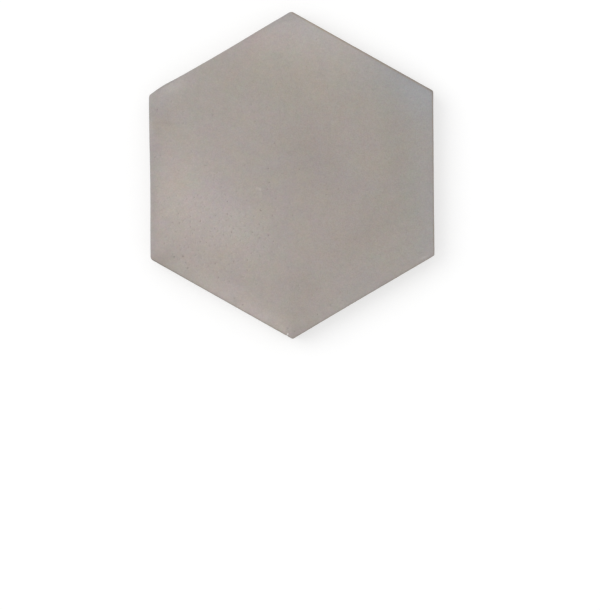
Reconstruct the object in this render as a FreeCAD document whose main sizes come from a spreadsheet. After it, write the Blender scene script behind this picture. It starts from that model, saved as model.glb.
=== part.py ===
"""Hexagon floor tile of through-coloured concrete, pressed in a mould.

The tile is one solid. It lies on its back with its face up, and the origin is at
the middle of the back. X runs across the flats and Y from point to point. The tile
is widest at its face: the six sides lean in towards the back, which leaves room for
mortar in the joints of a floor. The upright corners are rounded, the arris round
the face is eased, and the edge round the back is bevelled.
"""

import FreeCAD, Part
import math
import os
import Sketcher

TILE = "hexagon_tile"

# Driving dimensions in millimetres: name, value, what it measures.
DIMENSIONS = [
    ("across_flats", 200.0, "between opposite sides, at the face"),
    ("tile_thickness", 16.0, "from the back to the face"),
    ("back_inset", 0.4, "how much further in each side is at the back than at the face"),
    ("corner_radius", 3.5, "the six upright corners"),
    ("arris_radius", 1.2, "the eased edge round the face"),
    ("back_bevel", 0.8, "the bevel round the back"),
]

SIDE_COUNT = 6
STEP_ANGLE = 360 / SIDE_COUNT  # degrees from one corner to the next
FIRST_CORNER_ANGLE = 90  # degrees from +X, so that two corners lie on Y
LEVEL_TOLERANCE = 1e-4


def make_dimensions(doc):
    """The sheet of sizes that every feature is bound to."""
    sheet = doc.addObject("Spreadsheet::Sheet", "Dimensions")
    for row, (name, value, meaning) in enumerate(DIMENSIONS, start=1):
        sheet.set(f"A{row}", name)
        sheet.set(f"B{row}", str(value))
        sheet.set(f"C{row}", meaning)
        sheet.setAlias(f"B{row}", name)
    doc.recompute()
    return sheet


def sketch_face_outline(body, sheet):
    """The sharp hexagon at the level of the face: six equal sides on a circle."""
    sketch = body.newObject("Sketcher::SketchObject", "FaceOutline")
    ground = next(plane for plane in body.Origin.OriginFeatures if plane.Role == "XY_Plane")
    sketch.AttachmentSupport = (ground, [""])
    sketch.MapMode = "FlatFace"
    sketch.setExpression("AttachmentOffset.Base.z", "Dimensions.tile_thickness")

    half_width = sheet.across_flats / 2
    reach = half_width / math.cos(math.radians(STEP_ANGLE / 2))
    angles = [math.radians(FIRST_CORNER_ANGLE + STEP_ANGLE * n) for n in range(SIDE_COUNT)]
    corners = [FreeCAD.Vector(reach * math.cos(a), reach * math.sin(a), 0) for a in angles]
    for n in range(SIDE_COUNT):
        sketch.addGeometry(Part.LineSegment(corners[n], corners[(n + 1) % SIDE_COUNT]))
    circle = sketch.addGeometry(Part.Circle(FreeCAD.Vector(), FreeCAD.Vector(0, 0, 1), reach), True)

    # Constraints name a curve's points by number: its start, its end and its centre.
    start, end, centre = 1, 2, 3
    origin, y_axis = -1, -2
    for n in range(SIDE_COUNT):
        following = (n + 1) % SIDE_COUNT
        sketch.addConstraint(Sketcher.Constraint("Coincident", n, end, following, start))
        sketch.addConstraint(Sketcher.Constraint("PointOnObject", n, start, circle))
    first_side, second_side = 0, 1
    for n in range(second_side, SIDE_COUNT):
        sketch.addConstraint(Sketcher.Constraint("Equal", first_side, n))
    sketch.addConstraint(Sketcher.Constraint("Coincident", circle, centre, origin, start))
    sketch.addConstraint(Sketcher.Constraint("PointOnObject", first_side, start, y_axis))
    half_width_rule = sketch.addConstraint(
        Sketcher.Constraint("Distance", origin, start, second_side, half_width)
    )
    sketch.setExpression(f"Constraints[{half_width_rule}]", "Dimensions.across_flats / 2")
    return sketch


def is_level(item, height):
    """Whether an edge or a face lies wholly at one height."""
    low, high = item.BoundBox.ZMin, item.BoundBox.ZMax
    return abs(low - height) < LEVEL_TOLERANCE and abs(high - height) < LEVEL_TOLERANCE


def is_upright(item, height):
    """Whether an edge or a face reaches from the back all the way up to a height."""
    return abs(item.BoundBox.ZLength - height) < LEVEL_TOLERANCE


def face_names(shape, test, height):
    """The names of the faces that pass a test."""
    return [f"Face{n}" for n, face in enumerate(shape.Faces, start=1) if test(face, height)]


def edge_names(shape, test, height):
    """The names of the edges that pass a test."""
    return [f"Edge{n}" for n, edge in enumerate(shape.Edges, start=1) if test(edge, height)]


def pad_blank(body, outline):
    """The straight hexagonal blank, from the face outline down to the back."""
    blank = body.newObject("PartDesign::Pad", "Blank")
    blank.Profile = outline
    blank.Reversed = True
    blank.setExpression("Length", "Dimensions.tile_thickness")
    return blank


def lean_sides(body, blank, thickness):
    """The six sides turn in about the edges of the face, which keeps its width."""
    lean = body.newObject("PartDesign::Draft", "SideLean")
    lean.Base = (blank, face_names(blank.Shape, is_upright, thickness))
    lean.NeutralPlane = (blank, face_names(blank.Shape, is_level, thickness))
    lean.Reversed = True
    lean.setExpression("Angle", "atan(Dimensions.back_inset / Dimensions.tile_thickness)")
    return lean


def round_corners(body, lean, thickness):
    """The six upright corners, rounded from the back up to the face."""
    corners = body.newObject("PartDesign::Fillet", "Corners")
    corners.Base = (lean, edge_names(lean.Shape, is_upright, thickness))
    corners.setExpression("Radius", "Dimensions.corner_radius")
    return corners


def ease_arris(body, corners, thickness):
    """The edge round the face, sides and corners in one run."""
    arris = body.newObject("PartDesign::Fillet", "Arris")
    arris.Base = (corners, edge_names(corners.Shape, is_level, thickness))
    arris.setExpression("Radius", "Dimensions.arris_radius")
    return arris


def bevel_back(body, arris):
    """The edge round the back, cut off at an angle so that it doesn't chip."""
    bevel = body.newObject("PartDesign::Chamfer", "BackBevel")
    bevel.Base = (arris, edge_names(arris.Shape, is_level, 0))
    bevel.setExpression("Size", "Dimensions.back_bevel")
    return bevel


def make_tile(doc, sheet):
    """The tile, in the order of its features."""
    body = doc.addObject("PartDesign::Body", TILE)
    body.Label = TILE
    thickness = sheet.tile_thickness
    outline = sketch_face_outline(body, sheet)
    blank = pad_blank(body, outline)
    doc.recompute()
    lean = lean_sides(body, blank, thickness)
    doc.recompute()
    corners = round_corners(body, lean, thickness)
    doc.recompute()
    arris = ease_arris(body, corners, thickness)
    doc.recompute()
    bevel = bevel_back(body, arris)
    doc.recompute()
    check_each_takes_away([blank, lean, corners, arris, bevel])
    return body


def check_each_takes_away(features):
    """Stops if a feature after the first leaves as much material as it found."""
    for before, after in zip(features, features[1:]):
        if after.Shape.Volume >= before.Shape.Volume:
            raise RuntimeError(f"{after.Name} took nothing away from {before.Name}")


def check(doc, body):
    """Stops if a feature failed or the tile isn't one sound solid."""
    for item in doc.Objects:
        if "Invalid" in item.State or "Error" in item.State:
            raise RuntimeError(f"{item.Name} failed: {item.State}")
    shape = body.Shape
    if shape.isNull() or not shape.isValid() or len(shape.Solids) != 1:
        raise RuntimeError(f"{body.Label} is not one sound solid")


def main():
    doc = FreeCAD.newDocument("HexagonTile")
    sheet = make_dimensions(doc)
    tile = make_tile(doc, sheet)
    check(doc, tile)
    os.makedirs("parts", exist_ok=True)
    tile.Shape.exportStep(f"parts/{tile.Label}.step")
    box = tile.Shape.BoundBox
    print(f"{tile.Label}: {box.XLength:.2f} x {box.YLength:.2f} x {box.ZLength:.2f} mm")
    print(f"volume {tile.Shape.Volume:.0f} mm3, {len(tile.Shape.Faces)} faces")


main()
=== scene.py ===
import math

import bpy
import numpy as np
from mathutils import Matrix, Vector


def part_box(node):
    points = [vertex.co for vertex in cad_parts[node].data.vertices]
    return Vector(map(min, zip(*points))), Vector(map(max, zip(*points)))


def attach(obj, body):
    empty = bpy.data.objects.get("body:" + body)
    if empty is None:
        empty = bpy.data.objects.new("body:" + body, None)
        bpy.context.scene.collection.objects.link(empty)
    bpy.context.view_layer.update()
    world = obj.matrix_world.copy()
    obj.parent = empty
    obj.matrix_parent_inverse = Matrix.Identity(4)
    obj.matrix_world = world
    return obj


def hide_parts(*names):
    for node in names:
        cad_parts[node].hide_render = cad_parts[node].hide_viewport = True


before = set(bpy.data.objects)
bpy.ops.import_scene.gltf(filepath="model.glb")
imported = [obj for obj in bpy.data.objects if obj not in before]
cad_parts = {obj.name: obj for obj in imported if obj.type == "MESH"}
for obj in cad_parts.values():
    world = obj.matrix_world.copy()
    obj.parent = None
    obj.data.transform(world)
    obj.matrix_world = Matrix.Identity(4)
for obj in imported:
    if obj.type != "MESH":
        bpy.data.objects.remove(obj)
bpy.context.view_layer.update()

# The hexagon tile
# One piece of concrete, coloured right through and pressed face down in a steel mould.
# The mould gives it a flat face, an eased arris, sides that lean in and a bevelled back.
MM = 0.001
SIDES = 6
STEP = math.radians(360 / SIDES)  # from one corner, or one side, to the next
HALF_STEP = STEP / 2

tile_low, tile_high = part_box("hexagon_tile")
face_height = tile_high[2]
half_width = (tile_high[0] - tile_low[0]) / 2
side_length = 2 * half_width * math.tan(HALF_STEP)
ARRIS_RADIUS = 1.2 * MM
BACK_INSET = 0.4 * MM
BACK_BEVEL = 0.8 * MM

# How far off true it is all over: the lengths and the depth of the face's waves, the face's roll
# towards the sides, how ragged the sides are, and the shares by which arris and bevel wander.
WAVE_LENGTHS = np.array([20, 26, 33, 42, 54, 70]) * MM
WAVE_DEPTH = 0.005 * MM
ROLL_DEPTH, ROLL_REACH = 0.08 * MM, 2.5 * MM
SIDE_SCUFF = 0.04 * MM
ARRIS_WANDER, BEVEL_WANDER = 0.15, 0.35

# The bars of a mould are never quite true, so each corner stands a little off a regular
# hexagon's, by x and y in mm, and has its own radius in mm. They go anticlockwise from the top.
CORNERS = {
    "top": (0.75, -0.09, 3.5),
    "upper left": (0.00, 0.00, 3.0),
    "lower left": (0.10, -0.30, 3.2),
    "bottom": (-0.50, 0.20, 1.8),
    "lower right": (-0.15, 0.42, 1.8),
    "upper right": (-0.05, 0.75, 2.2),
}
corner_drifts = np.array(list(CORNERS.values()))[:, :2] * MM
corner_radii = np.array(list(CORNERS.values()))[:, 2] * MM

# Wear that takes the outline in, or a swelling that is negative wear: where its middle is, half
# its length and its depth in mm. A place counts corners, so 0.5 is halfway down the upper left side.
WEAR = {
    "hollow of the upper left side": (0.50, 30, 0.42),
    "swelling of the upper left side": (0.885, 7, -0.40),
    "rubbed upper left corner": (0.985, 3.5, 0.42),
    "waist of the left side": (1.55, 28, 0.36),
    "hollow of the lower right side": (3.40, 40, 0.20),
    "hollow of the right side": (4.35, 30, 0.12),
    "swelling of the upper right corner": (4.975, 4, -0.10),
}

# Small chips in the arris: where, half their length, and how much wider the arris is there, in mm.
CHIPS = {
    "beside the bottom corner": (2.957, 1.1, 0.58),
    "upper part of the right side": (4.72, 1.6, 0.30),
    "middle of the right side": (4.55, 2.2, 0.25),
    "upper right side": (5.35, 1.2, 0.25),
    "left side": (1.7, 1.4, 0.30),
    "lower left side": (2.3, 1.0, 0.35),
    "lower right side": (3.62, 1.3, 0.40),
    "upper left side": (0.27, 1.0, 0.25),
}


def bumps_round(place, bumps):
    """Sum of bumps round the outline, each its depth times exp(-(distance / half length) squared)."""
    total = np.zeros_like(place)
    for where, half_length, depth in bumps.values():
        gap = (place - where + SIDES / 2) % SIDES - SIDES / 2
        total += depth * MM * np.exp(-((gap * side_length / (half_length * MM)) ** 2))
    return total


def wander_round(place, seed, waves):
    """An uneven wander round the outline, -1 to 1: the mean of sines with random phases.

    The waves tell how often each sine goes up and down on its way round.
    """
    phases = np.random.default_rng(seed).uniform(0, 2 * math.pi, len(waves))
    return np.mean([np.sin(n * place * STEP + phase) for n, phase in zip(waves, phases)], axis=0)


def round_outline(place):
    """Points on the hexagon's outline at its widest level, and the way outward from each.

    Near a corner, within the radius times tan 30 degrees, the point runs round an arc whose
    centre stands back from the corner by the radius over cos 30 degrees. Further along it
    goes straight on from the end of the arc, until it meets the stretch of the next corner.
    """
    corner = np.rint(place)
    radius = corner_radii[corner.astype(int) % SIDES]
    along = (place - corner) * side_length
    arc_reach = radius * math.tan(HALF_STEP)
    to_corner = math.pi / 2 + corner * STEP
    facing = to_corner + np.clip(along / arc_reach, -1, 1) * HALF_STEP
    straight = np.sign(along) * np.maximum(np.abs(along) - arc_reach, 0)
    set_back = (half_width - radius) / math.cos(HALF_STEP)
    outward = np.stack([np.cos(facing), np.sin(facing)], axis=-1)
    sideways = np.stack([-outward[..., 1], outward[..., 0]], axis=-1)
    arc_centre = set_back[..., None] * np.stack([np.cos(to_corner), np.sin(to_corner)], axis=-1)
    outline = arc_centre + radius[..., None] * outward + straight[..., None] * sideways
    return outline, outward


def side_inset(height):
    """How far in a side is at a height: nothing at the face, growing evenly down to the back."""
    return BACK_INSET * (face_height - height) / face_height


def rim_radius(place):
    """Radius of the arris: the mould's, wandering a little, and wider where a chip is gone."""
    wander = 1 + ARRIS_WANDER * wander_round(place, seed=3, waves=(11, 17, 29, 47, 83))
    return ARRIS_RADIUS * wander + bumps_round(place, CHIPS)


def relief(flat):
    """How far the face lies below its highest level at points x, y.

    It is six long waves in random directions, each the waves' depth times 1 plus the sine of the
    way along it, and a roll towards the sides, its depth times exp(-(way in from the arris / reach)).
    """
    random = np.random.default_rng(8)
    total = np.zeros(flat.shape[:-1])
    for length in WAVE_LENGTHS:
        way, phase = random.uniform(0, 2 * math.pi, 2)
        run = flat[..., 0] * math.cos(way) + flat[..., 1] * math.sin(way)
        total += 1 + np.sin(2 * math.pi * run / length + phase)
    facings = np.arange(SIDES) * STEP
    reach = np.max(flat @ np.stack([np.cos(facings), np.sin(facings)]), axis=-1)
    inside = np.maximum(half_width - ARRIS_RADIUS - reach, 0)
    return WAVE_DEPTH * total + ROLL_DEPTH * np.exp(-inside / ROLL_REACH)


def drift_round(place):
    """The outline's drift: it changes evenly along a side, from one corner's drift to the next's."""
    corner = np.floor(place).astype(int)
    along = (place - corner)[..., None]
    return corner_drifts[corner % SIDES] * (1 - along) + corner_drifts[(corner + 1) % SIDES] * along


def ring_at(place, inset, height):
    """A ring of the rim: the outline with its drift, taken in by its wear and by an inset, at a height."""
    outline, outward = round_outline(place)
    scuff = SIDE_SCUFF * (1 + wander_round(place, seed=5, waves=(23, 37, 61, 97, 151)))
    taken_in = inset + bumps_round(place, WEAR) + scuff
    flat = outline + drift_round(place) - outward * taken_in[..., None]
    return np.concatenate([flat, np.broadcast_to(height, place.shape)[..., None]], axis=-1)


def arris_ring(place, turn):
    """The arris at an angle round it: 0 is its edge with the face and 90 degrees with the side."""
    radius = rim_radius(place)
    height = face_height - radius * (1 - math.cos(turn))
    ring = ring_at(place, side_inset(height) + radius * (1 - math.sin(turn)), height)
    ring[..., 2] -= relief(ring[..., :2]) * math.cos(turn)
    return ring


def back_ring_at(place, inset):
    """A ring of the back, taken in from the foot of the sides by an inset."""
    return ring_at(place, BACK_INSET + inset, 0.0)


def sharp_outline(place, reach):
    """Points on a sharp hexagon whose sides stand a given reach from the middle."""
    side = np.floor(place)
    along = (place - side - 0.5) * 2 * reach * math.tan(HALF_STEP)
    facing = math.pi / 2 + (side + 0.5) * STEP
    x = reach * np.cos(facing) - along * np.sin(facing)
    y = reach * np.sin(facing) + along * np.cos(facing)
    return np.stack([x, y], axis=-1)


def fill_hexagon(rings, reach, edge_at, blend=0.12):
    """Points of a triangular lattice that fills the hexagon inside an edge, from the middle out.

    A point is its ring's share of a sharp hexagon, plus the edge's departure from that hexagon
    times a smooth step that climbs from 0 to 1 over the last part, the blend, of the way out.
    """
    counts = SIDES * np.arange(1, rings + 1)
    ring = np.concatenate([[0], np.repeat(np.arange(1, rings + 1), counts)])
    step = np.concatenate([[0]] + [np.arange(count) for count in counts])
    place = step / np.maximum(ring, 1)
    share = ring / rings
    ramp = np.clip(1 - (1 - share) / blend, 0, 1)
    ramp = (ramp**2 * (3 - 2 * ramp))[:, None]
    sharp = sharp_outline(place, reach)
    edge = edge_at(place)
    flat = sharp * share[:, None] + (edge[:, :2] - sharp) * ramp
    return ring, np.concatenate([flat, edge[:, 2:]], axis=1)


def lattice_triangles(rings):
    """Triangles between the neighbouring rings of the lattice, anticlockwise seen from above.

    Ring r has 6 r points, so 1 + 3 r (r - 1) points come before it.
    """
    triangles = []
    for ring in range(1, rings + 1):
        outer_start = 1 + 3 * ring * (ring - 1)
        inner_start = 1 + 3 * (ring - 1) * (ring - 2) if ring > 1 else 0
        side, step = (grid.ravel() for grid in np.indices((SIDES, ring)))
        outer = side * ring + step
        inner = side * (ring - 1) + step
        here = outer_start + outer
        after = outer_start + (outer + 1) % (SIDES * ring)
        inner_here = inner_start + inner % max(SIDES * (ring - 1), 1)
        inner_after = inner_start + (inner + 1) % max(SIDES * (ring - 1), 1)
        triangles.append(np.stack([here, after, inner_here], axis=1))
        triangles.append(np.stack([inner_here, after, inner_after], axis=1)[step < ring - 1])
    return np.concatenate(triangles)


def strip_triangles(upper, lower, ahead=False):
    """Triangles between two rings of as many points, facing outward where the second is lower.

    Where the second ring stands half a step ahead of the first, the diagonals lean the other way.
    """
    upper_after, lower_after = np.roll(upper, -1), np.roll(lower, -1)
    if ahead:
        halves = [upper, lower, upper_after], [lower, lower_after, upper_after]
    else:
        halves = [upper, lower, lower_after], [upper, lower_after, upper_after]
    return np.concatenate([np.stack(half, axis=1) for half in halves])


def halving_triangles(fine, coarse):
    """Triangles from a ring in to one of half as many points, facing down."""
    here, between, after = fine[::2], fine[1::2], np.roll(fine[::2], -1)
    coarse_after = np.roll(coarse, -1)
    return np.concatenate(
        [
            np.stack([between, here, coarse], axis=1),
            np.stack([coarse_after, between, coarse], axis=1),
            np.stack([after, between, coarse_after], axis=1),
        ]
    )


# The face, as a lattice with a point about every 0.8 mm, its pitch.
FACE_RINGS = 144
face_reach = half_width - ARRIS_RADIUS
face_ring, face = fill_hexagon(FACE_RINGS, face_reach, lambda place: arris_ring(place, 0))
face[:, 2] = face_height - relief(face[:, :2])
face_pitch = face_reach / math.cos(HALF_STEP) / FACE_RINGS

# The pits that air bubbles left against the mould. The open ones are placed one by one, as
# x, y and radius in mm.
OPEN_PITS = [
    (-77.1, -56.4, 0.40), (-42.8, -39.6, 0.50), (-21.9, -24.8, 0.43), (-64.8, -31.8, 0.42),
    (-83.2, -56.6, 0.45), (-16.5, -42.0, 0.34), (-53.5, -27.6, 0.35), (-45.5, -27.0, 0.38),
    (-93.6, 46.8, 0.30), (-52.0, -71.6, 0.29), (-16.5, 4.4, 0.34), (-40.5, -86.2, 0.28),
    (-78.9, -32.6, 0.36), (-64.5, -45.6, 0.27), (5.4, 4.2, 0.27), (-73.5, -64.6, 0.38),
    (-44.5, -74.2, 0.32), (-27.9, -40.1, 0.36), (-69.9, 17.4, 0.25), (-15.5, -5.2, 0.25),
    (-13.5, -28.2, 0.30), (26.5, -91.6, 0.30), (-25.5, 37.4, 0.30), (-11.5, 22.4, 0.26),
    (88.5, -27.0, 0.17), (-35.0, -90.5, 0.33), (-4.0, -107.5, 0.30), (1.0, -110.0, 0.26),
    (-65.5, -13.5, 0.27), (-68.5, -15.0, 0.26), (-52.0, -38.5, 0.33), (-75.0, -60.5, 0.26),
    (-42.4, -28.4, 0.26), (-31.5, -59.5, 0.29), (-71.5, -35.5, 0.31), (-57.5, -29.0, 0.30),
    (-22.5, -34.5, 0.23), (17.0, -98.0, 0.24), (-95.5, 13.5, 0.28), (-67.5, -63.5, 0.26),
    (-54.0, -61.5, 0.26), (-81.5, -39.5, 0.27), (-45.5, -18.0, 0.26), (-79.0, 3.5, 0.25),
]

# The fine ones are strewn at random, but not on the outermost rings. They crowd lower left. How
# thick they lie falls from there as exp(-(distance / reach) squared), down to a lone share far
# away, where they are smaller too. Their radii in mm run from least to largest, mostly small.
FINE_PITS = 340
LEAST_FINE, LARGEST_FINE = 0.09, 0.25
CROWD_MIDDLE, CROWD_REACH = (-55, -42), (36, 27)
CROWD_EDGE = 0.25
LONE_SHARE, LONE_SIZE = 0.02, 0.55
PLAIN_RINGS = 5

random = np.random.default_rng(21)
inner_points = np.flatnonzero(face_ring < FACE_RINGS - PLAIN_RINGS)
from_crowd = (face[inner_points, :2] / MM - CROWD_MIDDLE) / CROWD_REACH
crowding = LONE_SHARE + np.exp(-(from_crowd**2).sum(axis=1))
fine_pits = random.choice(inner_points, FINE_PITS, replace=False, p=crowding / crowding.sum())
in_crowd = np.clip(crowding[np.searchsorted(inner_points, fine_pits)] / CROWD_EDGE, 0, 1)
fine_radii = LEAST_FINE + (LARGEST_FINE - LEAST_FINE) * random.uniform(0, 1, FINE_PITS) ** 1.5
fine_radii *= LONE_SIZE + (1 - LONE_SIZE) * in_crowd
open_pits = np.array(OPEN_PITS)
open_middles = [np.argmin(np.hypot(*(face[:, :2] - spot).T)) for spot in open_pits[:, :2] * MM]
pits = np.concatenate([open_middles, fine_pits])
pit_radii = np.concatenate([open_pits[:, 2], fine_radii]) * MM

# How a pit is sunk. Spacing, reach and fade are in steps of its lattice. The lip is uneven by a
# share of the radius. The depth is a share of the radius and the least depth, and a pit is wholly
# dark from the dark radius up.
PIT_SPACING, LIP_REACH, PULL_FADE = 3.2, 1.25, 0.35
LIP_WANDER, BOWL_STEEPNESS = 0.25, 2.5
DEPTH_SHARE, LEAST_DEPTH = 1.1, 0.05 * MM
DARK_RADIUS, LEAST_DARK = 0.35 * MM, 0.25


def sink_pits(flat, pits, radii, pitch):
    """Sinks pits into a lattice whose points are about a pitch apart.

    A pit closer than the spacing to an earlier one is left out. The neighbours of its middle, up
    to the lip's reach away, move in to its lip. A point further out goes exp(-(excess / fade)
    squared) of the way there, all of it in pitches. A point then sinks by the pit's depth times
    exp(-steepness times (distance / lip) squared). Returns where the points have moved to, how
    far each has sunk and how dark it is, 0 to 1.
    """
    gaps = np.hypot(*(flat[pits, None] - flat[None, pits]).transpose(2, 0, 1))
    alone = ~np.any(np.tril(gaps < PIT_SPACING * pitch, -1), axis=1)
    middles, radii = flat[pits[alone]], radii[alone]
    away = np.hypot(*(flat[:, None] - middles[None]).transpose(2, 0, 1))
    nearest = away.argmin(axis=1)
    distance = np.maximum(away[np.arange(len(flat)), nearest], 0.001 * pitch)  # never nothing
    radius = radii[nearest]
    lip = radius * random.uniform(1 - LIP_WANDER, 1 + LIP_WANDER, len(flat))
    beyond = np.maximum(distance / pitch - LIP_REACH, 0)
    pull = (1 - lip / distance) * np.exp(-((beyond / PULL_FADE) ** 2))
    pull[distance < pitch / 2] = 0
    moved = flat - (flat - middles[nearest]) * pull[:, None]
    sunk = np.exp(-BOWL_STEEPNESS * (distance * (1 - pull) / lip) ** 2)
    depth = (DEPTH_SHARE * radius + LEAST_DEPTH) * sunk
    return moved, depth, sunk * np.clip(radius / DARK_RADIUS, LEAST_DARK, 1)


face[:, :2], face_sunk, face_pit = sink_pits(face[:, :2], pits, pit_radii, face_pitch)
face[:, 2] -= face_sunk

# The rim, from the face's edge over the arris and down the side to the bevel. The side's points
# are first laid out flat, as distances round the tile and heights, to sink its pits. Every other
# row of them stands half a step ahead, which makes the side a lattice of even triangles too. The
# first row leaves room above it for the chips, and no pit reaches the seam or the outer rows.
ARRIS_TURNS = np.radians([14, 30, 48, 68, 90])
CHIP_ROOM = 1 * MM
SIDE_ROWS, PLAIN_ROWS, PLAIN_STEPS = 18, 2, 4
SIDE_PITS, SIDE_PIT_RADII = 90, (0.2, 0.65)
SIDE_ROUGHNESS = 0.05 * MM
rim_place = np.arange(SIDES * FACE_RINGS) / FACE_RINGS
side_heights = np.linspace(face_height - ARRIS_RADIUS - CHIP_ROOM, BACK_BEVEL, SIDE_ROWS)
side_row, side_step = np.divmod(np.arange(SIDE_ROWS * len(rim_place)), len(rim_place))
side_place = (side_step + 0.5 * (side_row % 2)) / FACE_RINGS
side_flat = np.stack([side_place * side_length, side_heights[side_row]], axis=-1)
pit_rows = (side_row >= PLAIN_ROWS) & (side_row < SIDE_ROWS - PLAIN_ROWS)
off_seam = (side_step >= PLAIN_STEPS) & (side_step <= len(rim_place) - PLAIN_STEPS)
pits = random.choice(np.flatnonzero(pit_rows & off_seam), SIDE_PITS, replace=False)
pit_radii = random.uniform(*SIDE_PIT_RADII, SIDE_PITS) * MM
side_flat, side_sunk, side_pit = sink_pits(side_flat, pits, pit_radii, side_length / FACE_RINGS)
side_place, side_height = side_flat[:, 0] / side_length, side_flat[:, 1]
side_sunk += SIDE_ROUGHNESS * random.uniform(0, 1, len(side_sunk))
side = ring_at(side_place, side_inset(side_height) + side_sunk, side_height)
bevel_wander = wander_round(rim_place, seed=9, waves=(31, 53, 79, 131))
rim_rows = [arris_ring(rim_place, turn) for turn in ARRIS_TURNS]
rim_rows += list(side.reshape(SIDE_ROWS, len(rim_place), 3))
rim_rows.append(back_ring_at(rim_place, BACK_BEVEL * (1 + BEVEL_WANDER * bevel_wander)))

# The back, a lattice half as fine as the face's, that the raw paste leaves rough and pitted. It
# starts a strip's breadth in from the bevel, and its outermost rings have no pits.
BACK_RINGS, PLAIN_BACK_RINGS = FACE_RINGS // 2, 3
BACK_STRIP = 1 * MM
BACK_PITS, BACK_PIT_RADII = 160, (0.3, 1.0)
BACK_ROUGHNESS = 0.12 * MM
back_margin = BACK_BEVEL + BACK_STRIP
back_reach = half_width - BACK_INSET - back_margin
back_ring, back = fill_hexagon(
    BACK_RINGS, back_reach, lambda place: back_ring_at(place, back_margin)
)
inner_points = np.flatnonzero(back_ring < BACK_RINGS - PLAIN_BACK_RINGS)
pits = random.choice(inner_points, BACK_PITS, replace=False)
pit_radii = random.uniform(*BACK_PIT_RADII, BACK_PITS) * MM
back[:, :2], back_sunk, back_pit = sink_pits(back[:, :2], pits, pit_radii, 2 * face_pitch)
back_rough = BACK_ROUGHNESS * random.uniform(0, 1, len(back)) * (back_ring < BACK_RINGS)
back[:, 2] += back_sunk + back_rough

# All of it as one closed skin.
parts = [face, *rim_rows, back]
starts = np.cumsum([0] + [len(part) for part in parts])
points = np.concatenate(parts)
face_edge = np.arange(len(face) - SIDES * FACE_RINGS, len(face))
rim_rings = [face_edge]
rim_rings += [start + np.arange(len(row)) for start, row in zip(starts[1:], rim_rows)]
back_edge = starts[-2] + np.arange(len(back) - SIDES * BACK_RINGS, len(back))
ahead = [False] * len(ARRIS_TURNS) + [row % 2 == 1 for row in range(SIDE_ROWS)]
skin = {
    "face": lattice_triangles(FACE_RINGS),
    "rim": np.concatenate(
        [strip_triangles(*pair) for pair in zip(rim_rings[:-2], rim_rings[1:-1], ahead)]
    ),
    "bevel": strip_triangles(rim_rings[-2], rim_rings[-1]),
    "back edge": halving_triangles(rim_rings[-1], back_edge),
    "back": starts[-2] + lattice_triangles(BACK_RINGS)[:, ::-1],
}
triangles = np.concatenate(list(skin.values()))


def make_mesh(name, points, triangles, smooth, attributes):
    """A mesh of triangles, with its shading and its attributes, each one number for each point."""
    mesh = bpy.data.meshes.new(name)
    mesh.vertices.add(len(points))
    mesh.vertices.foreach_set("co", points.astype(np.float32).ravel())
    mesh.loops.add(triangles.size)
    mesh.loops.foreach_set("vertex_index", triangles.astype(np.int32).ravel())
    mesh.polygons.add(len(triangles))
    mesh.polygons.foreach_set("loop_start", np.arange(0, triangles.size, 3, dtype=np.int32))
    mesh.polygons.foreach_set("use_smooth", smooth)
    for attribute, values in attributes.items():
        layer = mesh.attributes.new(attribute, "FLOAT", "POINT")
        layer.data.foreach_set("value", values.astype(np.float32))
    mesh.update(calc_edges=True)
    return mesh


# The bevel, and walls of the face's pits whose normals point up by less than this, are shaded flat,
# so that their edges stay crisp.
STEEPEST_SMOOTH = 0.93
corners = points[triangles]
normals = np.cross(corners[:, 1] - corners[:, 0], corners[:, 2] - corners[:, 0])
upward = normals[:, 2] / np.linalg.norm(normals, axis=1)
kind = np.repeat(list(skin), [len(part) for part in skin.values()])
smooth = np.where(kind == "face", upward > STEEPEST_SMOOTH, kind != "bevel")

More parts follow.
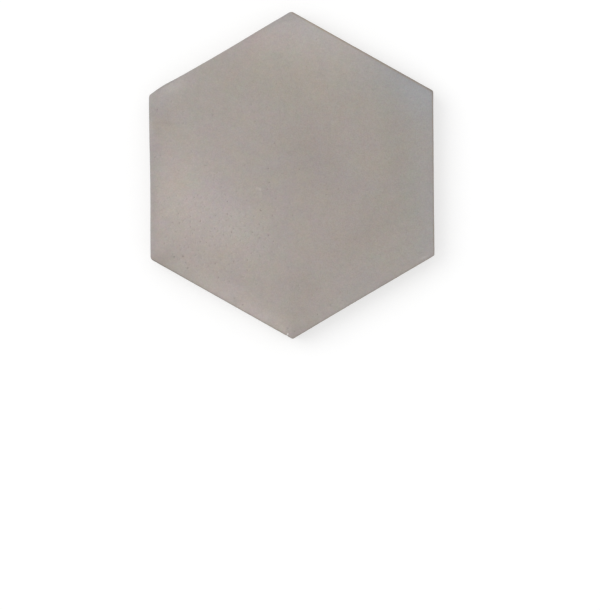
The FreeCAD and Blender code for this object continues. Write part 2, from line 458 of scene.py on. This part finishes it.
# Its colour comes mostly from how the cement paste dried and was rubbed: pale where lime came out
# and darker where it stayed damp. A few clouds carry painted light and shade, as said beside them. A
# cool grey tint lies on some edges, and is held back where the arris is brown. Clouds are x, y,
# half their length and breadth in mm, the way they run in degrees, and how many steps of 255 they
# lighten the paste by.
CLOUDS = {
    "pale top": (8, 103, 55, 26, -10, 11.3),
    "pale upper left corner": (-85, 65, 18, 9, 32, 7),
    "pale smear, upper left corner": (-82, 62, 9, 3.5, 28, 4),
    # The next cloud is partly painted light, brighter on the left half where the key light comes from.
    "pale left half, partly painted light": (-80, -28, 48, 58, 0, 5.5),
    "pale left": (-82, -14, 38, 17, 84, 4.8),
    "dull left edge": (-100, -10, 46, 5, 90, -7),
    "pale lower left": (-45, -35, 38, 21, -40, 7),
    "pale edge, lower left": (-28, -95, 42, 9, -30, 11),
    "dark middle": (10, 19, 20, 30, 30, -5),
    "less dark right of it": (42, 18, 12, 26, 0, 1.6),
    # The next cloud is partly painted shade, darker on the right half away from the key light.
    "dark right half, partly painted shade": (60, -4, 60, 80, 0, -5),
    "dark crescent, upper": (77, 8, 42, 10, -82, -3),
    "dark crescent, lower": (52, -40, 36, 11, 38, -3),
    "dark lower left corner": (-93, -60, 10, 7, 30, -9.5),
    "dark spot at the bottom": (7, -79, 14, 13, 0, -5),
    "dark bottom corner": (5, -108, 10, 14, 0, -8),
    "dark top corner": (-1, 114, 12, 4, 0, -7),
    "dull lower left edge": (-80, -68, 14, 7, -30, -2.2),
    "pale upper right corner": (88, 58, 12, 10, 0, 2.5),
    "dark spot, upper left": (-91, 42, 9, 9, 0, -4),
    "dark spot, upper middle": (-26, 68, 22, 13, 0, -1.4),
    "dull arris by the top corner": (-19, 103.9, 18, 2.0, 30, -10),
    "dull arris, upper left side": (-50, 86.8, 50, 1.6, 30, -4),
    # The next two darken the arris by the upper right corner, facing away from the key: partly painted
    # shade.
    "dull arris by the upper right corner": (80, 69, 22, 2.4, -30, -4),
    "dark arris, upper right corner": (99.2, 57.6, 5, 1.4, -60, -12),
    "smudge at the lower left edge": (-40.4, -87.2, 3.0, 2.2, -20, -8),
    "pale spot, bottom corner": (6.5, -102.8, 3.4, 3.0, 0, 7),
    "dark tip, bottom corner": (0.5, -111.5, 3.0, 2.6, 0, -8),
    "pale edge, bottom corner": (-7.6, -107.6, 3.0, 2.0, -30, 4),
    "dull spot, left edge": (-94.1, 19.6, 3.0, 2.4, 90, -5),
    "dull spot above it": (-92.8, 31.4, 3.4, 2.2, 60, -5),
    "dark fleck, upper left corner": (-94.2, 46.2, 1.3, 1.0, 0, -6),
    "dark arc, upper left": (-86.4, 37.2, 6, 1.5, -10, -5),
    # Painted highlight on the arris of the left side, which faces the key light.
    "painted highlight, left arris": (-98.2, 33, 9, 2.2, 90, 6),
    # The next darkens the arris of the lower right side, facing away from the key: partly painted shade.
    "dull arris, lower right side": (66.5, -75.2, 8, 3, 30, -4),
    "dark line, top corner": (-3.2, 108.5, 6, 0.8, 13, -7),
    # A pale line along the lower right edge, near its corner.
    "pale line, lower right": (92.2, -58.8, 3, 0.7, 22, 14),
    "pale scuff": (-22.4, -9.6, 1.2, 0.8, -20, 17),
    "upper end of the scuff": (-24.6, -8.8, 1.0, 0.7, 60, 13),
    "pale trail below the scuff": (-21.9, -13.0, 3, 0.6, 90, 7),
    "pale fleck": (-30, -22, 0.9, 0.8, 0, 8),
    "dark streak, lower left corner": (-83.2, -56.4, 2.0, 0.8, 0, -7),
    "dark streak beside it": (-77.2, -56.2, 1.5, 1.1, 0, -6),
}

# The cool grey tint: x, y, half its length and breadth, the way it runs, and how strong it is, 0 to 1.
COOL_TINT = {
    "upper right corner": (90, 62, 42, 21.5, -36, 0.87),
    "right edge": (100, -22, 60, 17, 90, 0.47),
    "top corner": (9, 107, 38, 12.5, -15, 0.34),
    "upper left corner": (-86, 64, 24, 15, 25, 0.24),
    "lower right edge": (48, -82, 38, 14, 30, 0.18),
    "middle": (36, 4, 14, 12, 0, 0.14),
}

# Where the paste is buff, or less so where negative: x, y, half its length and breadth, the way it
# runs, and how far, 0 to 1.
BUFF = {
    "upper middle": (-22, 69, 24, 14, 0, 0.14),
    "right of it": (10, 70, 14, 15, 0, 0.22),
    "down to the middle": (24, 26, 32, 14, -80, 0.22),
    "left edge": (-80, -2, 44, 9, 90, 0.10),
    "lower left edge": (-50, -56, 30, 10, -10, 0.14),
    "lower right": (38, -46, 32, 20, 10, 0.21),
    "right": (60, 8, 10, 20, 0, 0.12),
    "bottom": (4, -88, 26, 20, 0, 0.14),
    "left of the middle": (-48, -22, 26, 17, -60, -0.17),
    "lower middle": (-8, -46, 26, 13, -40, -0.08),
    "middle": (8, -8, 16, 12, -50, 0.13),
    "above the lower right edge": (58, -59, 12, 9, 0, -0.16),
    "upper left": (-76, 38, 18, 12, 60, -0.12),
    "lower left corner": (-92, -60, 12, 9, 0, 0.18),
    "arc, upper left": (-86.5, 34.5, 8, 3, -12, 0.30),
}

# How the arris differs from the face, side by side from the upper left one: how much more cool tint
# it has, 0 to 1, how far it is browned, 0 to 1, and how many steps it is darkened by. The brown,
# most on the three sides that face away from the key light, is partly painted shade, and so is
# part of the darkening.
EDGES = {
    "upper left": (0.10, 0.00, 1.9),
    "left": (0.36, 0.05, 0.9),
    "lower left": (0.00, 0.15, 1.8),
    "lower right": (0.00, 0.90, 0.6),
    "right": (0.00, 0.90, 0.3),
    "upper right": (0.00, 0.90, 1.6),
}

# Where the paste turns pink, or green where negative: x, y, half its length and breadth, the way
# it runs, and how far, 0 to 1.
BLUSHES = {
    "left edge": (-98, -12, 62, 8, 90, 0.18),
    "upper left edge": (-22, 98, 18, 7, 30, 0.26),
    "lower left": (-56, -36, 22, 24, 0, 0.13),
    "lower left edge": (-42, -87, 32, 8, -30, 0.16),
    "upper middle": (-22, 36, 14, 8, -40, 0.05),
    "middle": (-8, -20, 18, 7, -10, 0.14),
    "right of the middle": (45, 32, 12, 8, 20, 0.12),
    "top corner": (0, 111, 6, 4, 0, 0.12),
    "upper left corner": (-91, 46, 9, 4.5, 85, 0.24),
    "lower left corner": (-97, -49, 8, 7, 0, 0.34),
    "smear, upper left corner": (-84, 62, 18, 7, 30, 0.22),
    "upper right corner": (88, 62, 18, 5, -32, 0.12),
    "green top": (-2, 66, 74, 20, -2, -0.24),
    "green below the top": (-1, 70, 15, 8, 90, -0.16),
    "green right": (78, 6, 72, 22, 90, -0.25),
    "green in the middle": (-2, 0, 16, 9, 0, -0.15),
    "green below the middle": (-22, -42, 14, 9, -30, -0.16),
    "green lower right corner": (86, -51, 17, 10, 25, -0.17),
    "green beside the upper right corner": (73, 58, 18, 6, -50, -0.14),
    "green bottom corner": (0, -106, 14, 9, 0, -0.20),
    "green by the lower left corner": (-82, -60, 12, 6, -30, -0.26),
}


def patches(flat, table):
    """Sum of oval patches at points x, y.

    Each is its strength times exp(-a squared - b squared), where a is how far along the patch
    a point is, in shares of its half length, and b how far aside, in shares of its half breadth.
    """
    total = np.zeros(len(flat))
    for x, y, half_length, half_breadth, way, strength in table.values():
        way = math.radians(way)
        offset = flat / MM - (x, y)
        along = offset @ (math.cos(way), math.sin(way)) / half_length
        aside = offset @ (-math.sin(way), math.cos(way)) / half_breadth
        total += strength * np.exp(-(along**2) - aside**2)
    return total


# The numbers that the mesh carries. A point's share of the rim is 1 at the middle of the arris, 0
# from the rim's breadth further in, and a little over 1 at the side. Its share of the side grows
# from 0 at the arris to 1 a fade further down. The cool tint reaches in from an edge, and holds back
# the brown there. The rim's brown and darkening are partly painted shade. A chip shows fresh paste
# where it is deep enough. A cloud's steps count on a plain level, and the power turns what they
# make of it to a share of light.
ARRIS_MIDDLE = 0.4 * ARRIS_RADIUS
RIM_BREADTH, MOST_RIM = 0.9 * MM, 1.5
SIDE_FADE = 1.5 * MM
COOL_REACH, COOL_SHIELD = 2.5 * MM, 0.8
DIRT_AND_SHADE_STEP = 0.09
FRESH_FROM, ALL_FRESH_FROM = 0.4 * MM, 0.6 * MM
PLAIN_LEVEL, LIGHT_POWER = 150.0, 2.2

flat, heights = points[:, :2], points[:, 2]
facings = STEP * (np.arange(SIDES) + 2)
reach_by_side = flat @ np.stack([np.cos(facings), np.sin(facings)])
edge_cool_tint, edge_brown_and_shade, edge_dirt_and_shade = np.array(list(EDGES.values()))[reach_by_side.argmax(axis=1)].T
inside = half_width - ARRIS_MIDDLE - reach_by_side.max(axis=1)
on_side = np.clip((face_height - ARRIS_RADIUS - heights) / SIDE_FADE, 0, 1)
rim_share = np.clip(1 - inside / RIM_BREADTH, 0, MOST_RIM) * (1 - on_side)
# The cool grey tint, from its patches and reaching in from each edge.
cool_tint = patches(flat, COOL_TINT) + edge_cool_tint * np.exp(-np.maximum(inside, 0) / COOL_REACH)
# The rim's brown and darkening are partly painted shade; the brown is most on sides away from the key.
rim_brown_and_shade = edge_brown_and_shade * rim_share * (1 - COOL_SHIELD * np.clip(cool_tint, 0, 1))
rim_dirt_and_shade = DIRT_AND_SHADE_STEP * edge_dirt_and_shade * rim_share
chip_depth = bumps_round(rim_place, CHIPS)
chip_share = np.zeros(len(points))
for ring in rim_rings[: len(ARRIS_TURNS) + 1]:
    chip_share[ring] = np.clip((chip_depth - FRESH_FROM) / (ALL_FRESH_FROM - FRESH_FROM), 0, 1)
no_pits = np.zeros(len(rim_place))
# How dark each point is painted in its pit: partly dirt, partly painted shade of the hollow.
pit_dirt_and_shade = np.concatenate([face_pit, *[no_pits] * len(ARRIS_TURNS), side_pit, no_pits, back_pit])
tile_mesh = make_mesh(
    "hexagon_tile_skin",
    points,
    triangles,
    smooth,
    {
        "tone": (1 + patches(flat, CLOUDS) / PLAIN_LEVEL) ** LIGHT_POWER * (1 - rim_dirt_and_shade),
        "cool_layer": np.clip(cool_tint, 0, 1) * np.clip(1 - edge_brown_and_shade * rim_share, 0, 1),
        "blush": patches(flat, BLUSHES),
        "buff": patches(flat, BUFF),
        "pit": pit_dirt_and_shade,
        "rim": rim_brown_and_shade,
        "chip": chip_share,
        "raw": on_side,
    },
)


def colour(hex_code):
    """A colour written in sRGB hex as the linear colour that a shader takes."""
    channels = np.array([int(hex_code[n : n + 2], 16) for n in (0, 2, 4)]) / 255
    linear = np.where(channels <= 0.04045, channels / 12.92, ((channels + 0.055) / 1.055) ** 2.4)
    return (*linear, 1.0)


def add_node(tree, kind, inputs=None, **settings):
    """Adds a node with its settings. An input is given a value, or is linked to another node's output."""
    node = tree.nodes.new(kind)
    for name, value in settings.items():
        setattr(node, name, value)
    for name, value in (inputs or {}).items():
        if isinstance(value, bpy.types.NodeSocket):
            tree.links.new(value, node.inputs[name])
        else:
            node.inputs[name].default_value = value
    return node


def per_mm(size_mm):
    """The scale of a pattern whose features are this many mm wide, on coordinates in metres."""
    return 1 / (size_mm * MM)


# Pressed concrete, as smooth as the steel that it was pressed on: a satin grey with fine sand in it.
# The eye gets soft clouds, a faint pink, green and buff mottle, a fine grain, and dark pits.
# The sides and the back were never polished, so they are paler, coarser and more matt.
# The rim's brown is partly painted shade on the arris; the pits' dark is partly dirt, partly painted
# shade.
PASTE_PINK, PASTE_GREEN, PASTE_BUFF, COOL_GREY = "A39798", "9D998F", "A5988D", "98989A"
RIM_BROWN_AND_SHADE, PIT_DIRT_AND_SHADE, FRESH_CHIP, RAW_GREY = "A0907E", "58534D", "DAD8D4", "A59C94"
CEMENT_IOR = 1.5

# A pit's painted dark, partly dirt and partly painted shade, covers less than half of the paste,
# because its rendered shade does the rest. The face is satin where its grain is finest, and the raw
# sides are matt where theirs is coarsest. The last two are how far the grain stands up on the face
# and on the raw sides.
PIT_COVER = 0.45
SATIN, MATT = 0.50, 0.88
FINEST, COARSEST = 0.3, 1.5
FACE_GRAIN, RAW_GRAIN = 0.02 * MM, 0.12 * MM
concrete = bpy.data.materials.new("pressed_concrete")
concrete.use_nodes = True
tree = concrete.node_tree
tree.nodes.clear()
on_tile = add_node(tree, "ShaderNodeTexCoord").outputs["Object"]

# What the mesh carries.
tone, cool_layer, blush, buff, pit, rim, chip, raw = (
    add_node(tree, "ShaderNodeAttribute", attribute_name=name).outputs["Fac"]
    for name in ("tone", "cool_layer", "blush", "buff", "pit", "rim", "chip", "raw")
)

# Noises, each with the breadth of its blotches in mm and its detail. The drag marks, which the
# mould's walls left up the sides, are drawn out to five times their breadth.
on_drag = add_node(tree, "ShaderNodeMapping", {"Vector": on_tile, "Scale": (1, 1, 1 / 5)}).outputs[0]
NOISES = {
    "sand grain": (on_tile, 0.9, 2, "Fac"),
    "dark specks": (on_tile, 2.1, 1, "Fac"),
    "grain tint": (on_tile, 2.4, 2, "Color"),
    "ripples": (on_tile, 6, 2, "Fac"),
    "pink and green mottle": (on_tile, 13, 2, "Fac"),
    "rim brown mottle": (on_tile, 14, 2, "Fac"),
    "buff mottle": (on_tile, 15, 3, "Fac"),
    "blotches": (on_tile, 26, 3, "Fac"),
    "drag marks": (on_drag, 3.5, 3, "Fac"),
}
noise = {
    name: add_node(
        tree,
        "ShaderNodeTexNoise",
        {"Vector": coordinates, "Scale": per_mm(breadth), "Detail": detail, "Roughness": 0.6},
    ).outputs[output]
    for name, (coordinates, breadth, detail, output) in NOISES.items()
}

# How each noise is stretched: what it runs from and to, and the share or factor that it becomes.
STRETCHES = {
    "pink and green mottle": (0.30, 0.70, 0.28, 0.81),
    "buff mottle": (0.33, 0.67, -0.02, 0.38),
    "rim brown mottle": (0.35, 0.60, 0.30, 0.80),
    "sand grain": (0.25, 0.75, 0.906, 1.094),
    "dark specks": (0.56, 0.76, 1.0, 0.95),
    "ripples": (0.30, 0.70, 0.975, 1.025),
    "blotches": (0.30, 0.70, 0.982, 1.018),
    "drag marks": (0.30, 0.70, 0.91, 1.08),
}
stretched = {
    name: add_node(
        tree,
        "ShaderNodeMapRange",
        {"Value": noise[name], "From Min": low, "From Max": high, "To Min": least, "To Max": most},
    ).outputs["Result"]
    for name, (low, high, least, most) in STRETCHES.items()
}

# The grain's tint, where inputs 7 to 10 are the same four limits for red, green and blue at once.
grain_tint = add_node(
    tree,
    "ShaderNodeMapRange",
    {"Vector": noise["grain tint"], 7: [0.25] * 3, 8: [0.75] * 3, 9: [0.964] * 3, 10: [1.036] * 3},
    data_type="FLOAT_VECTOR",
).outputs["Vector"]

# The shares that meet what the mesh carries.
green_share, buff_share, brown_and_shade_share, pit_dirt_and_shade_share = (
    add_node(tree, "ShaderNodeMath", {0: share, 1: other}, operation=operation).outputs[0]
    for share, other, operation in (
        (stretched["pink and green mottle"], blush, "SUBTRACT"),
        (stretched["buff mottle"], buff, "ADD"),
        (stretched["rim brown mottle"], rim, "MULTIPLY"),
        (pit, PIT_COVER, "MULTIPLY"),
    )
)

# The paste's colour, one layer over the other, each by its share. In a Mix node for colours
# input 0 is the share, 6 what lies under and 7 what lies over, and output 2 is the mixture.
paste = colour(PASTE_PINK)
for share, layer in (
    (green_share, PASTE_GREEN),
    (buff_share, PASTE_BUFF),
    (cool_layer, COOL_GREY),
    (raw, RAW_GREY),
    # the rim's brown, partly painted shade on the arris
    (brown_and_shade_share, RIM_BROWN_AND_SHADE),
    (chip, FRESH_CHIP),
    # the pits' dark, partly dirt and partly painted shade
    (pit_dirt_and_shade_share, PIT_DIRT_AND_SHADE),
):
    paste = add_node(
        tree, "ShaderNodeMix", {0: share, 6: paste, 7: colour(layer)}, data_type="RGBA"
    ).outputs[2]

# Its lightness is a product: the clouds times each factor. Drag marks are on the sides alone.
drag_light = add_node(tree, "ShaderNodeMix", {0: raw, 2: 1.0, 3: stretched["drag marks"]}).outputs[0]
lightness = tone
for factor in (
    stretched["blotches"],
    stretched["ripples"],
    stretched["dark specks"],
    stretched["sand grain"],
    drag_light,
):
    lightness = add_node(
        tree, "ShaderNodeMath", {0: lightness, 1: factor}, operation="MULTIPLY"
    ).outputs[0]
paste = add_node(
    tree, "ShaderNodeVectorMath", {0: paste, 1: grain_tint}, operation="MULTIPLY"
).outputs[0]
finished = add_node(tree, "ShaderNodeVectorMath", {0: paste, "Scale": lightness}, operation="SCALE")

# The grain stands up a little on the face, and more on the raw sides and back, and makes them matt.
stand = add_node(
    tree, "ShaderNodeMapRange", {"Value": raw, "To Min": FACE_GRAIN, "To Max": RAW_GRAIN}
).outputs["Result"]
grain_height, coarseness = (
    add_node(tree, "ShaderNodeMath", {0: noise["sand grain"], 1: other}, operation="ADD").outputs[0]
    for other in (noise["dark specks"], raw)
)
bump = add_node(
    tree, "ShaderNodeBump", {"Strength": 1.0, "Distance": stand, "Height": grain_height}
).outputs[0]
roughness = add_node(
    tree,
    "ShaderNodeMapRange",
    {
        "Value": coarseness,
        "From Min": FINEST,
        "From Max": COARSEST,
        "To Min": SATIN,
        "To Max": MATT,
    },
).outputs["Result"]
surface = add_node(
    tree,
    "ShaderNodeBsdfPrincipled",
    {"Base Color": finished.outputs[0], "Roughness": roughness, "IOR": CEMENT_IOR, "Normal": bump},
)
add_node(tree, "ShaderNodeOutputMaterial", {"Surface": surface.outputs[0]})
tile_mesh.materials.append(concrete)

tile = bpy.data.objects.new("hexagon_tile_skin", tile_mesh)
bpy.context.scene.collection.objects.link(tile)
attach(tile, "root")
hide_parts("hexagon_tile")

# The floor
# A plain pale floor under the tile, wide enough to reach past every view of it.
# It looks white where nothing shades it, and keeps the tile's soft shadow.
FLOOR_RADIUS, FLOOR_TRIANGLES = 6.0, 96
FLOOR_GAP = 0.02 * MM
turns = np.arange(FLOOR_TRIANGLES) * 2 * math.pi / FLOOR_TRIANGLES
floor_points = np.zeros((1 + FLOOR_TRIANGLES, 3))
floor_points[1:, :2] = FLOOR_RADIUS * np.stack([np.cos(turns), np.sin(turns)], axis=1)
floor_points[:, 2] = -FLOOR_GAP
around = np.arange(1, 1 + FLOOR_TRIANGLES)
floor_triangles = np.stack([0 * around, around, np.roll(around, -1)], axis=1)
floor_mesh = make_mesh("floor", floor_points, floor_triangles, np.ones(FLOOR_TRIANGLES, bool), {})

# Matt pale board. The camera and mirror reflections see it lifted to white where nothing shades it.
BOARD_GREY, OPEN_BOARD = "BCBCBC", 1.03
board = bpy.data.materials.new("pale_board")
board.use_nodes = True
tree = board.node_tree
tree.nodes.clear()
rays = add_node(tree, "ShaderNodeLightPath").outputs
seen = rays["Is Camera Ray"]
for also in ("Is Glossy Ray", "Is Transmission Ray"):
    seen = add_node(tree, "ShaderNodeMath", {0: seen, 1: rays[also]}, operation="MAXIMUM").outputs[0]
lift = add_node(
    tree, "ShaderNodeMath", {0: seen, 1: OPEN_BOARD - colour(BOARD_GREY)[0]}, operation="MULTIPLY"
).outputs[0]
matt = add_node(tree, "ShaderNodeBsdfDiffuse", {"Color": colour(BOARD_GREY)})
glow = add_node(tree, "ShaderNodeEmission", {"Strength": lift})
both = add_node(tree, "ShaderNodeAddShader", {0: matt.outputs[0], 1: glow.outputs[0]})
add_node(tree, "ShaderNodeOutputMaterial", {"Surface": both.outputs[0]})
floor_mesh.materials.append(board)
floor = bpy.data.objects.new("floor", floor_mesh)
bpy.context.scene.collection.objects.link(floor)

# The light
# A bright room all round and one large soft light from the left, a little above the middle.
# Together they give a level face as much light as makes a colour look as it is written.
ROOM_SHARE = 0.78
KEY_HEIGHT, KEY_WAY, KEY_SPREAD = math.radians(42), math.radians(160), math.radians(50)
world = bpy.data.worlds.new("bright_room")
world.use_nodes = True
tree = world.node_tree
tree.nodes.clear()
rays = add_node(tree, "ShaderNodeLightPath").outputs
seen = rays["Is Camera Ray"]
for also in ("Is Glossy Ray", "Is Transmission Ray"):
    seen = add_node(tree, "ShaderNodeMath", {0: seen, 1: rays[also]}, operation="MAXIMUM").outputs[0]
strength = add_node(
    tree, "ShaderNodeMapRange", {"Value": seen, "To Min": ROOM_SHARE, "To Max": 1.0}
).outputs["Result"]
room = add_node(tree, "ShaderNodeBackground", {"Color": colour("FFFFFF"), "Strength": strength})
add_node(tree, "ShaderNodeOutputWorld", {"Surface": room.outputs[0]})
bpy.context.scene.world = world

key = bpy.data.lights.new("soft_key", "SUN")
key.energy = (1 - ROOM_SHARE) * math.pi / math.sin(KEY_HEIGHT)
key.angle = KEY_SPREAD
key_object = bpy.data.objects.new("soft_key", key)
key_object.rotation_euler = (0, math.pi / 2 - KEY_HEIGHT, KEY_WAY)
bpy.context.scene.collection.objects.link(key_object)

# The camera
# It looks straight down, turned a little, from over the middle of a frame of 600 by 610 points.
# A point is 0.70 mm on the face. The tile's middle is a little left of the frame's and well above.
FRAME_HEIGHT = 610
POINT_SIZE = 0.7018 * MM
TILE_RIGHT, TILE_UP = -8.2, 129.88
CAMERA_TURN = math.radians(-0.55)
camera_data = bpy.data.cameras.new("camera")
camera_data.lens, camera_data.sensor_width = 100, 36
camera_height = FRAME_HEIGHT * POINT_SIZE * camera_data.lens / camera_data.sensor_width
camera = bpy.data.objects.new("camera", camera_data)
right = np.array([math.cos(CAMERA_TURN), math.sin(CAMERA_TURN)])
up = np.array([-math.sin(CAMERA_TURN), math.cos(CAMERA_TURN)])
foot = -POINT_SIZE * (TILE_RIGHT * right + TILE_UP * up)
camera.location = (*foot, face_height + camera_height)
camera.rotation_euler = (0, 0, CAMERA_TURN)
bpy.context.scene.collection.objects.link(camera)
bpy.context.scene.camera = camera
bpy.context.scene.view_settings.view_transform = "Standard"

bpy.context.view_layer.update()
